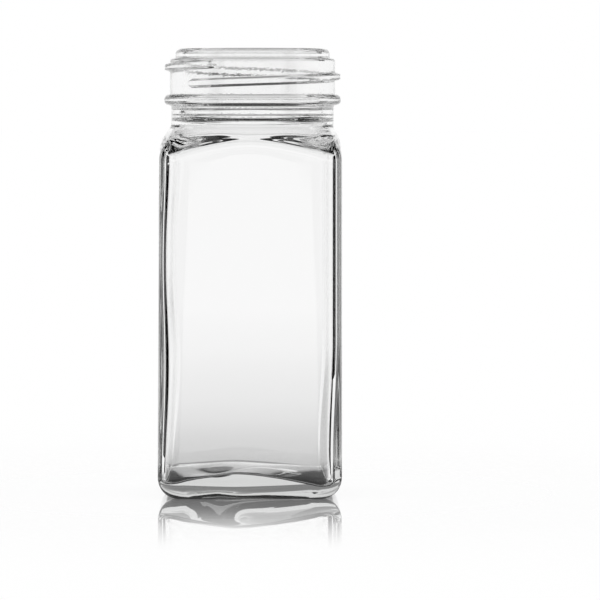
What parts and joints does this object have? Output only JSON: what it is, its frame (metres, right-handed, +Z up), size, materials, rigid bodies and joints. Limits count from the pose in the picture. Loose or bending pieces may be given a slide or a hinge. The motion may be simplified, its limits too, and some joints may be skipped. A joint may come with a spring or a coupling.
{
  "type": "spice jar",
  "caption": "Open square jar in clear glass with rounded corners, a sloping shoulder, a beaded round neck for a screw cap and a heavy base.",
  "frame": {"origin": "middle of the base, in the plane that the jar stands on", "axes": "+Z up along the neck, X and Y square to the flat sides"},
  "size_m": [0.0436, 0.0436, 0.1065],
  "materials": {
    "clear_glass": "fire-polished clear soda-lime glass"
  },
  "bodies": {
    "root": {"glass_jar": "clear_glass"}
  },
  "joints": []
}
